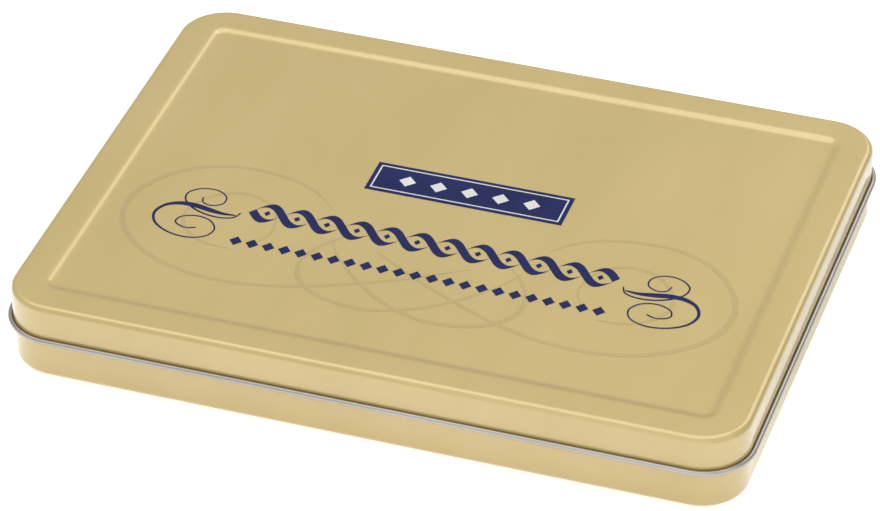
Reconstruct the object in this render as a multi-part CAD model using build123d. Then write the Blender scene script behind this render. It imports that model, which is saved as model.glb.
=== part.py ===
from build123d import *
from math import cos, pi, radians, sin
import os

# Calligraphy set box: a flat hinged tin. Two formed plastic trays inside it hold four capped
# fountain pens with five spare nib units, and twenty ink cartridges. A booklet lies beneath.
#
# Frame: +X runs along the hinge, +Y points to the hinge side and +Z is up. The origin is the
# middle of the base's footprint on the table. All sizes are in millimetres.
#
# Sizes run from the inside out. The pens and cartridges set the trays, the trays set the base
# and the base sets the lid, so neighbours still fit when one size changes.

# Tinplate
SHEET = 0.25                # thickness of the lid and the base
CORNER_RADIUS = 14.5        # lid's outer corner, seen from above
LID_CLEARANCE = 0.35        # between the lid's skirt and the base's wall
LID_EDGE_RADIUS = 1.8       # between the lid's top and its skirt
BASE_EDGE_RADIUS = 2.4      # between the base's wall and its floor
EDGE_STEPS = 3              # bends that make up each of those edges
RIM_GAP = 0.3               # from the base's rim to the underside of the lid
LID_HEADROOM = 0.95         # from the pen clips to the lid's sunken panel

# Rolled edges
BEAD_RADIUS = 0.85          # outward roll along the lid's lower edge
BEAD_ANGLE = 302.0          # how far the sheet is rolled round
BEAD_HEIGHT = 13.75         # middle of that roll above the table, which is the hinge axis
RIM_RADIUS = 0.8            # inward roll along the base's upper edge
RIM_ANGLE = 290.0
ROLL_STEPS = 7              # bends that make up each roll

# Sunken panel in the lid
PANEL_INSET = 10.0          # from the lid's side to the panel's sloping edge
PANEL_SLOPE = 2.0           # width of the sloping edge
PANEL_DEPTH = 0.6
PANEL_CORNER = 4.0

# Raised panel in the base's floor, which leaves a flat foot all round
FOOT_WIDTH = 9.0
FLOOR_SLOPE = 1.2
FLOOR_RISE = 0.5
FLOOR_CORNER = 5.0

# Hinges: two ears, punched out of the base's rear wall and rolled round a wire pin
EAR_SPACING = 110.0
EAR_WIDTH = 12.0
EAR_ANGLE = 255.0
EAR_SLIT = 0.1              # sheared gap beside each ear
NOTCH_CLEARANCE = 0.5       # gap in the lid's roll, on each side of an ear
NOTCH_RISE = 1.5            # height of the notch above the hinge axis
PIN_CLEARANCE = 0.1         # between a pin and the ear rolled round it
PIN_REACH = 8.0             # how far a pin runs into the lid's roll, on each side

# Faceted pen. The radius of a facet is its distance from the pen's axis.
SPIGOT_RADIUS = 3.9         # rear end of a nib unit, pushed into the barrel
SPIGOT_LENGTH = 8.0
SPIGOT_FIT = 0.1
NECK_WALL = 1.6             # front end of the barrel, round the spigot
NECK_LENGTH = 7.0
CAP_FIT = 0.25              # between the cap and the barrel's neck
CAP_WALL = 1.05
CAP_TAPER = 0.45            # how much narrower the crown is than the mouth
CAP_SEAM = 0.2              # between the cap's mouth and the barrel's shoulder
CROWN_WALL = 5.5            # solid end of the cap
CROWN_CHAMFER = 1.2
NIB_ROOM = 1.5              # from the nib's tip to the solid end of the cap
BARREL_LENGTH = 74.0        # behind the cap
BARREL_SHOULDER = 0.6       # step from the neck to the barrel
BARREL_TAPER = 1.3          # how much narrower the tail is
TAPER_LENGTH = 36.0
TAIL_CHAMFER = 1.0
TAIL_SOLID = 12.0           # solid end of the barrel

# Clip
CLIP_LENGTH = 41.0
CLIP_WIDTH = 4.2
CLIP_SHEET = 0.6
CLIP_STAND = 2.3            # top of the clip above the cap's mouth
CLIP_BRIDGE = 3.6           # level part of the clip before the arm slopes down
CLIP_SETBACK = 2.6          # from the crown to the clip's root
CLIP_ROOT_DEPTH = 2.0       # below the cap's surface
CLIP_TIP = 2.4              # upturned tip
CLIP_TIP_GAP = 0.1          # from the arm to the cap's mouth radius
CLIP_FIT = 0.05             # round the root, in the cap's slot

# Nib unit: grip, feed and nib
GRIP_LENGTH = 28.0
COLLAR_STEP = 0.2           # how much narrower the collar is than the neck
COLLAR_LENGTH = 2.5
WAIST_DROP = 1.0            # how much narrower the waist is than the collar
WAIST_SETBACK = 9.0         # from the waist to the grip's front
LIP_DROP = 0.6              # how much narrower the front is than the collar
LIP_CHAMFER = 0.5
SOCKET_DEPTH = 10.0         # for the feed and the nib, in the grip's front
FEED_RADIUS = 2.4
FEED_TIP = 0.7              # thickness left at the feed's tip
FIN_COUNT = 5               # slots across the feed's underside
FIN_PITCH = 1.5
FIN_SLOT = 0.6
FIN_DEPTH = 1.0
NIB_REACH = 18.0            # nib in front of the grip
NIB_OVERHANG = 5.0          # nib in front of the feed
NIB_SHEET = 0.3
NIB_FIT = 0.05              # between nib, feed and grip
NIB_SHOULDER = 6.0          # from the grip to where the nib starts to narrow
NIB_SKIRT = 0.4             # how far the nib's sides reach above the feed's middle
NIB_SLIT = 0.12
NIB_VENT = 1.1              # width of the vent at the slit's end
PEN_NIB_WIDTHS = (1.1, 1.5, 1.8, 2.3)
SPARE_NIB_WIDTHS = (0.9, 1.3, 1.6, 1.9, 2.5)

# Ink cartridges
CARTRIDGE_COLOURS = ("black", "blue", "red", "green", "violet")
CARTRIDGE_LENGTH = 38.4
CARTRIDGE_RADIUS = 3.7
CARTRIDGE_GAP = 0.4         # between two in a well
MOUTH_RADIUS = 2.3
MOUTH_LENGTH = 4.8

# Booklet under the trays
PAGES_THICKNESS = 0.6
COVER_THICKNESS = 0.3
COVER_OVERHANG = 0.6
BOOKLET_MARGIN = 3.0        # to the sloping edge of the floor's raised panel
BOOKLET_ROOM = 0.2          # above the booklet, below the trays' walls along their seam
STAPLE_WIRE = 0.3
STAPLE_LENGTH = 12.0
STAPLE_SPACING = 70.0

# Trays
TRAY_SHEET = 0.6
TRAY_CLEARANCE = 0.15       # from the tray's foot to the round edge of the base's floor
TRAY_END_MARGIN = 8.85      # from the tray's end to the pens
TRAY_SIDE_MARGIN = 13.5     # from the tray's side to the pens or wells, and between these
TRAY_CHAMFER = 1.4
TRAY_SEAM = 0.4             # between the pens' tray and the cartridges' tray
SEAM_CORNER = 3.0           # corners of both trays beside that seam
POCKET_CLEARANCE = 0.25     # round a pen or a nib unit
POCKET_RIB = 5.7            # between two pens
POCKET_LIP = 3.0            # tray's top above the pens' axes
ROW_GAP = 8.0               # between the pens and the nib units, end to end
UNIT_LIFT = 0.3             # nib units' axes above the tray's top
TROUGH_LENGTH = 28.0        # finger trough across the pens
TROUGH_PLACE = 14.0         # from the caps' mouths to the trough
TROUGH_SIDE = 8.0           # finger room beside the outer pens
TROUGH_DEPTH = 3.4          # below the barrels
TROUGH_CORNER = 4.0
UNDER_TRAY_GAP = 1.85       # between the booklet and the trough
WELL_COUNT = 4
WELL_RIB = 11.7             # between two wells
WELL_SLACK = 1.8            # at each end of the cartridges
WELL_SIDE = 0.8             # beside the outer cartridges
WELL_DEPTH = 9.0
WELL_CORNER = 2.5
WELL_SEAT_GAP = 0.1         # between a cartridge and the well's floor

# Sizes that follow from those above
barrel_bore = SPIGOT_RADIUS + SPIGOT_FIT
neck_radius = barrel_bore + NECK_WALL
cap_bore = neck_radius + CAP_FIT
cap_radius = cap_bore + CAP_WALL
barrel_radius = neck_radius + BARREL_SHOULDER
collar_radius = neck_radius - COLLAR_STEP
cap_length = CROWN_WALL + NIB_ROOM + NIB_REACH + GRIP_LENGTH + NECK_LENGTH
pen_length = cap_length + BARREL_LENGTH
unit_length = SPIGOT_LENGTH + GRIP_LENGTH + NIB_REACH
nib_inside = FEED_RADIUS + NIB_FIT
nib_outside = nib_inside + NIB_SHEET

pen_count = len(PEN_NIB_WIDTHS)
unit_count = len(SPARE_NIB_WIDTHS)
pen_pocket = cap_radius + POCKET_CLEARANCE
pen_pitch = 2 * pen_pocket + POCKET_RIB
pens_width = (pen_count - 1) * pen_pitch
unit_pitch = pens_width / (unit_count - 1)
cartridge_pitch = 2 * CARTRIDGE_RADIUS + CARTRIDGE_GAP
well_length = CARTRIDGE_LENGTH + 2 * WELL_SLACK
well_width = len(CARTRIDGE_COLOURS) * cartridge_pitch - CARTRIDGE_GAP + 2 * WELL_SIDE
well_pitch = well_width + WELL_RIB

pen_row = pen_length + ROW_GAP + unit_length
well_row = (WELL_COUNT - 1) * well_pitch + well_width
tray_length = max(pen_row, well_row) + 2 * TRAY_END_MARGIN
tray_width = pens_width + 2 * pen_pocket + well_length + 3 * TRAY_SIDE_MARGIN
tray_gap = BASE_EDGE_RADIUS - SHEET + TRAY_CLEARANCE
base_length = tray_length + 2 * (tray_gap + SHEET)
base_width = tray_width + 2 * (tray_gap + SHEET)
base_corner = CORNER_RADIUS - SHEET - LID_CLEARANCE
tray_corner = base_corner - SHEET - tray_gap
lid_length = base_length + 2 * (LID_CLEARANCE + SHEET)
lid_width = base_width + 2 * (LID_CLEARANCE + SHEET)

booklet_bottom = SHEET + FLOOR_RISE
booklet_thickness = PAGES_THICKNESS + 2 * COVER_THICKNESS
booklet_length = base_length - 2 * (FOOT_WIDTH + FLOOR_SLOPE + BOOKLET_MARGIN)
booklet_width = base_width - 2 * (FOOT_WIDTH + FLOOR_SLOPE + BOOKLET_MARGIN)
trough_floor = booklet_bottom + booklet_thickness + UNDER_TRAY_GAP + TRAY_SHEET
pen_axis = trough_floor + TROUGH_DEPTH + barrel_radius
tray_top = pen_axis + POCKET_LIP
unit_axis = tray_top + UNIT_LIFT
well_floor = tray_top - WELL_DEPTH
tin_height = pen_axis + cap_radius + CLIP_STAND + LID_HEADROOM + PANEL_DEPTH + SHEET
rim_height = tin_height - SHEET - RIM_GAP - RIM_RADIUS

hinge_y = lid_width / 2 - SHEET + BEAD_RADIUS
hinge_places = (-EAR_SPACING / 2, EAR_SPACING / 2)
pen_start = -pen_row / 2
unit_start = pen_start + pen_length + ROW_GAP + SPIGOT_LENGTH
first_pen_y = tray_width / 2 - TRAY_SIDE_MARGIN - pen_pocket
well_y = -tray_width / 2 + TRAY_SIDE_MARGIN + well_length / 2
trough_x = pen_start + cap_length + TROUGH_PLACE + TROUGH_LENGTH / 2
trough_y = first_pen_y - pens_width / 2
trough_width = pens_width + 2 * (barrel_radius + TROUGH_SIDE)
seam_y = (trough_y - trough_width / 2 + well_y + well_length / 2) / 2
OVERSHOOT = 1.0             # how far a cutting shape runs past the surface it cuts
LAP = 1.0                   # how far two shapes that become one piece overlap
HALF_TURN = 180


# ---------------------------------------------------------------- formed sheet

def block(length, width, radius, bottom, top):
    """A slab with rounded corners between two heights."""
    return Pos(0, 0, bottom) * extrude(RectangleRounded(length, width, radius), top - bottom)


def bend(centre, radius, start, angle, steps):
    """Points along a bend in a sheet, evenly spaced."""
    turns = [radians(start + angle * step / steps) for step in range(steps + 1)]
    return [(centre[0] + radius * cos(turn), centre[1] + radius * sin(turn)) for turn in turns]


def formed_rim(length, width, corner, line):
    """A strip of sheet carried round a rounded rectangle. The line is the middle of the
    sheet, as distances outward from that rectangle and upward from the table."""
    path = RectangleRounded(length, width, corner).wire()
    along = path % 0
    plane = Plane(origin=path @ 0, x_dir=along.cross(Vector(0, 0, 1)), z_dir=along * -1)
    return sweep((plane * trace(Polyline(*line), SHEET)).face(), path=path)


def pressed_sheet(length, width, corner, top, panel, panel_corner, slope, rise):
    """A flat sheet with a panel pressed up or down out of it, inside a sloping edge."""
    stock = block(length, width, corner, top - abs(rise) - 2 * SHEET, top)
    wide = Pos(0, 0, top) * RectangleRounded(*panel, panel_corner)
    inner = (panel[0] - 2 * slope, panel[1] - 2 * slope)
    narrow = Pos(0, 0, top + rise) * RectangleRounded(*inner, panel_corner - slope)
    if rise > 0:
        stock += loft([wide, narrow])
    else:
        stock -= loft([narrow, wide])
    return stock - Pos(0, 0, -SHEET) * stock


# ---------------------------------------------------------------- tin

def make_lid():
    """Lid: sunken panel, round edge, skirt, and an outward roll notched at the ears."""
    middle = SHEET / 2
    edge = bend((-LID_EDGE_RADIUS, tin_height - LID_EDGE_RADIUS), LID_EDGE_RADIUS - middle,
                90, -90, EDGE_STEPS)
    roll = bend((BEAD_RADIUS - SHEET, BEAD_HEIGHT), BEAD_RADIUS - middle, 180, BEAD_ANGLE, ROLL_STEPS)
    flat = [(-LID_EDGE_RADIUS - LAP, tin_height - middle)]
    lid = formed_rim(lid_length, lid_width, CORNER_RADIUS, flat + edge + roll)
    lid += pressed_sheet(lid_length - 2 * LID_EDGE_RADIUS, lid_width - 2 * LID_EDGE_RADIUS,
                         CORNER_RADIUS - LID_EDGE_RADIUS, tin_height,
                         (lid_length - 2 * PANEL_INSET, lid_width - 2 * PANEL_INSET),
                         PANEL_CORNER, PANEL_SLOPE, -PANEL_DEPTH)
    depth = BEAD_RADIUS + OVERSHOOT
    for x in hinge_places:
        lid -= Pos(x, hinge_y, BEAD_HEIGHT + (NOTCH_RISE - depth) / 2) * Box(
            EAR_WIDTH + 2 * NOTCH_CLEARANCE, 2 * depth, NOTCH_RISE + depth)
    return lid


def make_base():
    """Base: floor with a raised panel, wall, inward roll at the rim, and two hinge ears."""
    middle = SHEET / 2
    edge = bend((-BASE_EDGE_RADIUS, BASE_EDGE_RADIUS), BASE_EDGE_RADIUS - middle, -90, 90, EDGE_STEPS)
    roll = bend((-RIM_RADIUS, rim_height), RIM_RADIUS - middle, 0, RIM_ANGLE, ROLL_STEPS)
    flat = [(-BASE_EDGE_RADIUS - LAP, middle)]
    base = formed_rim(base_length, base_width, base_corner, flat + edge + roll)
    base += pressed_sheet(base_length - 2 * BASE_EDGE_RADIUS, base_width - 2 * BASE_EDGE_RADIUS,
                          base_corner - BASE_EDGE_RADIUS, SHEET,
                          (base_length - 2 * FOOT_WIDTH, base_width - 2 * FOOT_WIDTH),
                          FLOOR_CORNER, FLOOR_SLOPE, FLOOR_RISE)
    for x in hinge_places:
        base = add_ear(base, x)
    return base


def add_ear(base, x):
    """Punch an ear out of the rear wall, bend it outward and roll it up round its pin."""
    wall = base_width / 2 - SHEET
    low = BEAD_HEIGHT - BEAD_RADIUS
    reach = hinge_y - wall
    rolled = reach + EAR_ANGLE / 360 * 2 * pi * (BEAD_RADIUS - SHEET / 2)
    base -= Pos(x, wall + SHEET / 2, low + rolled / 2) * Box(
        EAR_WIDTH + 2 * EAR_SLIT, SHEET + OVERSHOOT, rolled)
    middle = BEAD_RADIUS - SHEET / 2
    line = [(-reach, -middle)] + bend((0, 0), middle, -90, EAR_ANGLE, ROLL_STEPS)
    plane = Plane(origin=(x - EAR_WIDTH / 2, hinge_y, BEAD_HEIGHT), x_dir=(0, 1, 0), z_dir=(1, 0, 0))
    return base + extrude(plane * trace(Polyline(*line), SHEET), EAR_WIDTH)


def make_hinge_pin(x):
    """Wire pin through one ear and into the lid's roll on both sides of it."""
    radius = BEAD_RADIUS - SHEET - PIN_CLEARANCE
    pin = Cylinder(radius, EAR_WIDTH + 2 * (NOTCH_CLEARANCE + PIN_REACH))
    return Pos(x, hinge_y, BEAD_HEIGHT) * Rot(0, 90, 0) * pin


# ---------------------------------------------------------------- pens

def octagon(radius):
    """Eight facets, one of them below, each at this distance from the middle."""
    return RegularPolygon(radius, 8, major_radius=False, rotation=22.5)


def faceted(*stations, facets=8):
    """A bar along X with flat facets, through (x, radius) stations: one side view, cut out
    of the solid from several directions."""
    outline = [*stations, *[(x, -radius) for x, radius in reversed(stations)]]
    side = extrude(Plane.XZ * make_face(Polyline(*outline, close=True)), 2 * cap_radius, both=True)
    bar = side
    for number in range(1, facets // 2):
        bar &= Rot(number * 360 / facets, 0, 0) * side
    return bar


def make_cap():
    """Cap, from the crown at x = 0 to the mouth, with a slot for the clip's root."""
    mouth = cap_length - CAP_SEAM
    cap = faceted((0, cap_radius - CAP_TAPER - CROWN_CHAMFER), (CROWN_CHAMFER, cap_radius - CAP_TAPER),
                  (mouth, cap_radius))
    cap -= faceted((CROWN_WALL, cap_bore), (mouth + OVERSHOOT, cap_bore))
    depth = CLIP_ROOT_DEPTH + CLIP_FIT + OVERSHOOT
    slot = Box(CLIP_SHEET + 2 * CLIP_FIT, CLIP_WIDTH + 2 * CLIP_FIT, depth)
    return cap - Pos(CLIP_SETBACK + CLIP_SHEET / 2, 0, clip_root() - CLIP_FIT + depth / 2) * slot


def clip_root():
    """Height of the clip's root above the pen's axis."""
    return cap_radius - CAP_TAPER - CLIP_ROOT_DEPTH


def make_clip():
    """Spring clip: a root in the cap's slot, a bridge, a sloping arm and an upturned tip."""
    top = cap_radius + CLIP_STAND - CLIP_SHEET / 2
    low = cap_radius + CLIP_TIP_GAP + CLIP_SHEET / 2
    root = CLIP_SETBACK + CLIP_SHEET / 2
    end = CLIP_SETBACK + CLIP_LENGTH
    line = Polyline((root, clip_root()), (root, top), (root + CLIP_BRIDGE, top),
                    (end - CLIP_TIP, low), (end, low + CLIP_SHEET))
    return extrude(Plane.XZ * trace(line, CLIP_SHEET), CLIP_WIDTH / 2, both=True)


def make_barrel():
    """Barrel behind the cap, with a neck that the cap closes over and a bore for a cartridge."""
    end = cap_length + BARREL_LENGTH
    tail = barrel_radius - BARREL_TAPER
    front = cap_length - NECK_LENGTH
    barrel = faceted((front, neck_radius), (cap_length, neck_radius), (cap_length, barrel_radius),
                     (end - TAPER_LENGTH, barrel_radius), (end - TAIL_CHAMFER, tail),
                     (end, tail - TAIL_CHAMFER))
    return barrel - faceted((front - OVERSHOOT, barrel_bore), (end - TAIL_SOLID, barrel_bore))


def make_grip():
    """Grip of a nib unit along +X, with its collar at x = 0 and its spigot behind that."""
    lip = collar_radius - LIP_DROP
    grip = faceted((-SPIGOT_LENGTH, SPIGOT_RADIUS), (0, SPIGOT_RADIUS), (0, collar_radius),
                   (COLLAR_LENGTH, collar_radius),
                   (GRIP_LENGTH - WAIST_SETBACK, collar_radius - WAIST_DROP),
                   (GRIP_LENGTH - LIP_CHAMFER, lip), (GRIP_LENGTH, lip - LIP_CHAMFER))
    socket = nib_outside + NIB_FIT
    return grip - faceted((GRIP_LENGTH - SOCKET_DEPTH, socket), (GRIP_LENGTH + OVERSHOOT, socket))


def make_feed():
    """Ink feed: a finned bar whose underside rises to a thin tip beneath the nib."""
    start = GRIP_LENGTH - SOCKET_DEPTH + NIB_FIT
    end = GRIP_LENGTH + NIB_REACH - NIB_OVERHANG
    feed = faceted((start, FEED_RADIUS), (end, FEED_RADIUS))
    below = Polyline((GRIP_LENGTH, -FEED_RADIUS), (end, FEED_RADIUS - FEED_TIP),
                     (end + OVERSHOOT, -FEED_RADIUS - OVERSHOOT), (GRIP_LENGTH, -FEED_RADIUS - OVERSHOOT),
                     close=True)
    feed -= extrude(Plane.XZ * make_face(below), 2 * FEED_RADIUS, both=True)
    rise = (2 * FEED_RADIUS - FEED_TIP) / (end - GRIP_LENGTH)
    slot = Box(FIN_SLOT, 3 * FEED_RADIUS, 2 * (FIN_DEPTH + OVERSHOOT))
    for number in range(1, FIN_COUNT + 1):
        ahead = number * FIN_PITCH
        feed -= Pos(GRIP_LENGTH + ahead, 0, rise * ahead - FEED_RADIUS - OVERSHOOT) * slot
    return feed


def make_nib(tip_width):
    """Broad-edge nib over the feed, narrowed to a square tip, with its slit and vent."""
    start = GRIP_LENGTH - SOCKET_DEPTH + NIB_FIT
    shoulder = GRIP_LENGTH + NIB_SHOULDER
    end = GRIP_LENGTH + NIB_REACH
    nib = faceted((start, nib_outside), (end, nib_outside))
    nib -= faceted((start - OVERSHOOT, nib_inside), (end + OVERSHOOT, nib_inside))
    half = Polyline((start, nib_outside), (shoulder, nib_outside), (end, tip_width / 2),
                    (end, -tip_width / 2), (shoulder, -nib_outside), (start, -nib_outside), close=True)
    nib &= Pos(0, 0, NIB_SKIRT) * extrude(make_face(half), nib_outside)
    nib -= Pos((shoulder + end) / 2, 0, 0) * Box(end - shoulder, NIB_SLIT, 3 * nib_outside)
    vent = extrude(RegularPolygon(NIB_VENT / 2, 4), 2 * nib_outside)
    return nib - Pos(shoulder, 0, 0) * vent


def make_unit(tip_width):
    """The three pieces of a nib unit, in the unit's own place."""
    return {"grip": make_grip(), "feed": make_feed(), "nib": make_nib(tip_width)}


def make_pen(tip_width):
    """The pieces of a capped pen. Its nib unit points back into the cap."""
    pen = {"cap": make_cap(), "clip": make_clip(), "barrel": make_barrel()}
    inside = Pos(cap_length - NECK_LENGTH, 0, 0) * Rot(0, 0, HALF_TURN)
    for name, piece in make_unit(tip_width).items():
        pen[name] = inside * piece
    return pen


def make_cartridge():
    """Ink cartridge along +X, with its narrow mouth at x = 0."""
    return faceted((0, MOUTH_RADIUS), (MOUTH_LENGTH, MOUTH_RADIUS), (MOUTH_LENGTH, CARTRIDGE_RADIUS),
                   (CARTRIDGE_LENGTH, CARTRIDGE_RADIUS), facets=12)


# ---------------------------------------------------------------- trays and booklet

def channel(radius, start, length, grow):
    """A faceted channel along X, open above."""
    height = radius + POCKET_LIP + OVERSHOOT
    section = octagon(radius + grow) + Pos(0, height / 2) * Rectangle(2 * (radius + grow), height)
    return extrude(Plane.YZ.offset(start - grow) * section, length + 2 * grow)


def pocket(length, width, corner, floor, grow):
    """A pocket with rounded corners, open above."""
    return block(length + 2 * grow, width + 2 * grow, corner + grow, floor - grow, tray_top + OVERSHOOT)


def pen_hollows(grow):
    """Channels for the pens and the nib units, and the finger trough."""
    slack = POCKET_CLEARANCE
    hollows = [Pos(trough_x, trough_y, 0) * pocket(TROUGH_LENGTH, trough_width, TROUGH_CORNER,
                                                   trough_floor, grow)]
    for place in pen_places():
        hollows.append(place * channel(pen_pocket, -slack, cap_length + 2 * slack, grow))
        hollows.append(place * channel(barrel_radius + slack, cap_length, BARREL_LENGTH + slack, grow))
    for place in unit_places():
        hollows.append(place * channel(collar_radius + slack, -SPIGOT_LENGTH - slack,
                                       unit_length + 2 * slack, grow))
    return hollows


def well_hollows(grow):
    """Wells for the cartridges."""
    well = pocket(well_width, well_length, WELL_CORNER, well_floor, grow)
    return [Pos(x, well_y, 0) * well for x in well_places()]


def tray_form(front, rear, hollows, grow):
    """A tray's upper side as a solid, or with grow the space that lies beneath its sheet."""
    plan = RectangleRounded(tray_length - 2 * grow, tray_width - 2 * grow, tray_corner - grow)
    plan &= Pos(0, (front + rear) / 2) * Rectangle(tray_length + OVERSHOOT, rear - front - 2 * grow)
    near = TRAY_SEAM + TRAY_SHEET
    corners = plan.vertices().filter_by_position(Axis.Y, seam_y - near, seam_y + near)
    plan = fillet(corners, SEAM_CORNER - grow)
    form = Pos(0, 0, SHEET) * extrude(plan, tray_top - grow - SHEET)
    form = chamfer(form.faces().sort_by(Axis.Z)[-1].edges(), TRAY_CHAMFER)
    for hollow in hollows(grow):
        form -= hollow
    return form


def make_tray(front, rear, hollows):
    """A tray formed from one sheet, between two distances from the tin's middle. Its wall
    along the seam ends above the booklet."""
    tray = tray_form(front, rear, hollows, 0) - tray_form(front, rear, hollows, TRAY_SHEET)
    room = (booklet_length + 2 * BOOKLET_MARGIN, booklet_width + 2 * BOOKLET_MARGIN)
    return tray - block(*room, SEAM_CORNER, 0, booklet_bottom + booklet_thickness + BOOKLET_ROOM)


def pen_places():
    return [Pos(pen_start, first_pen_y - i * pen_pitch, pen_axis) for i in range(pen_count)]


def unit_places():
    return [Pos(unit_start, first_pen_y - i * unit_pitch, unit_axis) for i in range(unit_count)]


def well_places():
    return [(i - (WELL_COUNT - 1) / 2) * well_pitch for i in range(WELL_COUNT)]


def make_cartridges(number):
    """One colour of cartridge: the same place in every well, mouth towards the pens."""
    across = (number - (len(CARTRIDGE_COLOURS) - 1) / 2) * cartridge_pitch
    height = well_floor + WELL_SEAT_GAP + CARTRIDGE_RADIUS
    front = well_y + CARTRIDGE_LENGTH / 2
    one = Rot(0, 0, -90) * make_cartridge()
    return Compound(children=[Pos(x + across, front, height) * one for x in well_places()])


def make_booklet_pages():
    """Pages, trimmed a little smaller than the cover except at the fold."""
    size = (booklet_length - COVER_OVERHANG - COVER_THICKNESS, booklet_width - 2 * COVER_OVERHANG)
    x = (COVER_THICKNESS - COVER_OVERHANG) / 2
    z = booklet_bottom + COVER_THICKNESS + PAGES_THICKNESS / 2
    return Pos(x, 0, z) * Box(*size, PAGES_THICKNESS)


def make_booklet_cover():
    """Cover: one sheet folded round the pages along their left edge."""
    cover = Pos(0, 0, booklet_bottom + booklet_thickness / 2) * Box(
        booklet_length, booklet_width, booklet_thickness)
    return cover - Pos(COVER_THICKNESS, 0, booklet_bottom + booklet_thickness / 2) * Box(
        booklet_length, booklet_width + OVERSHOOT, PAGES_THICKNESS)


def make_booklet_staples():
    """Two wire staples that lie along the outside of the fold."""
    x = -booklet_length / 2 - STAPLE_WIRE / 2
    z = booklet_bottom + booklet_thickness / 2
    wire = Box(STAPLE_WIRE, STAPLE_LENGTH, STAPLE_WIRE)
    return Compound(children=[Pos(x, y, z) * wire for y in (-STAPLE_SPACING / 2, STAPLE_SPACING / 2)])


# ---------------------------------------------------------------- assembly

def make_parts():
    """Every piece in its place, by name."""
    parts = {"lid": make_lid(), "base": make_base()}
    for side, x in zip(("left", "right"), hinge_places):
        parts[f"hinge_pin_{side}"] = make_hinge_pin(x)
    parts["pen_tray"] = make_tray(seam_y + TRAY_SEAM / 2, tray_width / 2, pen_hollows)
    parts["cartridge_tray"] = make_tray(-tray_width / 2, seam_y - TRAY_SEAM / 2, well_hollows)
    for number, (place, width) in enumerate(zip(pen_places(), PEN_NIB_WIDTHS), 1):
        for name, piece in make_pen(width).items():
            parts[f"pen_{number}_{name}"] = place * piece
    for number, (place, width) in enumerate(zip(unit_places(), SPARE_NIB_WIDTHS), 1):
        for name, piece in make_unit(width).items():
            parts[f"spare_{number}_{name}"] = place * piece
    for number, colour in enumerate(CARTRIDGE_COLOURS):
        parts[f"cartridges_{colour}"] = make_cartridges(number)
    parts["booklet_pages"] = make_booklet_pages()
    parts["booklet_cover"] = make_booklet_cover()
    parts["booklet_staples"] = make_booklet_staples()
    return parts


os.makedirs("parts", exist_ok=True)
for part_name, part in make_parts().items():
    export_step(part, f"parts/{part_name}.step")
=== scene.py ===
# %% [markdown]
# # A calligraphy set in a flat hinged tin
# The tin is two pressed sheets of lacquered tinplate, a lid and a base, that meet at a rolled
# hinge. Inside lie two formed trays, four capped fountain pens, five spare nib units, ink
# cartridges and a booklet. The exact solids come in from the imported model, and stay where they
# are. This file gives them what solids lack: smooth bends in the sheet, printing on the lid,
# softened plastic edges, and finishes.

# %% Load the solids
import bmesh
import bpy
from math import cos, pi, radians, sin, tan
from mathutils import Matrix, Vector


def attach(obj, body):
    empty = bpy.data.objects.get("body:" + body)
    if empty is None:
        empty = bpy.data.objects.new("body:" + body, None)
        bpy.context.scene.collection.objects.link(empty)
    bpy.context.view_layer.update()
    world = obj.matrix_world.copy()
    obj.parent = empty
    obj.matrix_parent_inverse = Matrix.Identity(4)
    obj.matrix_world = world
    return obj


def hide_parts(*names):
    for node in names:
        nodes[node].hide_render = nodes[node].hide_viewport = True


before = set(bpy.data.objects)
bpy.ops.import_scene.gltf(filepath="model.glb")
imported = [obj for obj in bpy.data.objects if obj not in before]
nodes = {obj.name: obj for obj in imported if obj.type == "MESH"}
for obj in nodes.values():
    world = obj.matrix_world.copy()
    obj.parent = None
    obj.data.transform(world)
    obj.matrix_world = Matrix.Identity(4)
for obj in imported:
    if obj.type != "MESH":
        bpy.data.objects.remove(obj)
bpy.context.view_layer.update()

# %% [markdown]
# ## Helpers
# Sizes are easier to read in millimetres, so they are written that way and turned to metres
# once. Colours are written as the hex values that a paint chart gives, and Blender's shaders
# want them linear. One function adds a node, its settings and its links.

# %% Units, colours and nodes
MM = 0.001


def colour(code):
    """A #RRGGBB value as the linear colour that a shader wants."""
    values = [int(code[i:i + 2], 16) / 255 for i in (1, 3, 5)]
    linear = [v / 12.92 if v <= 0.04045 else ((v + 0.055) / 1.055) ** 2.4 for v in values]
    return (*linear, 1.0)


def add(tree, kind, inputs=(), stops=(), **settings):
    """Add a node. Each input is a plain value, or what to link: another node's output, or the
    node itself for its first output. A colour ramp takes two (place, hex) stops as well."""
    node = tree.nodes.new(kind)
    for name, value in settings.items():
        setattr(node, name, value)
    for key, value in dict(inputs).items():
        if isinstance(value, bpy.types.Node):
            value = value.outputs[0]
        if isinstance(value, bpy.types.NodeSocket):
            tree.links.new(value, node.inputs[key])
        else:
            node.inputs[key].default_value = value
    for i, (place, code) in enumerate(stops):
        node.color_ramp.elements[i].position = place
        node.color_ramp.elements[i].color = colour(code)
    return node


print("the hex grey #808080 is", round(colour("#808080")[0], 3), "in linear light")

# %% [markdown]
# ## What all finishes share
# No real surface is quite even. Its tone drifts, its gloss varies, and it has a very low
# relief, and all three come from how it was made. So each finish here is one Principled shader
# whose tone, roughness and relief follow noise on Object coordinates, which stay with the
# piece. The noise is sized in millimetres, and squeezed across the way that rolling or drawing
# stretched the real grain.

# %% Patterns, and the shader that follows them
def new_finish(name):
    """An empty material and its node tree."""
    material = bpy.data.materials.new(name)
    material.use_nodes = True
    material.node_tree.nodes.clear()
    return material, material.node_tree


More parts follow.
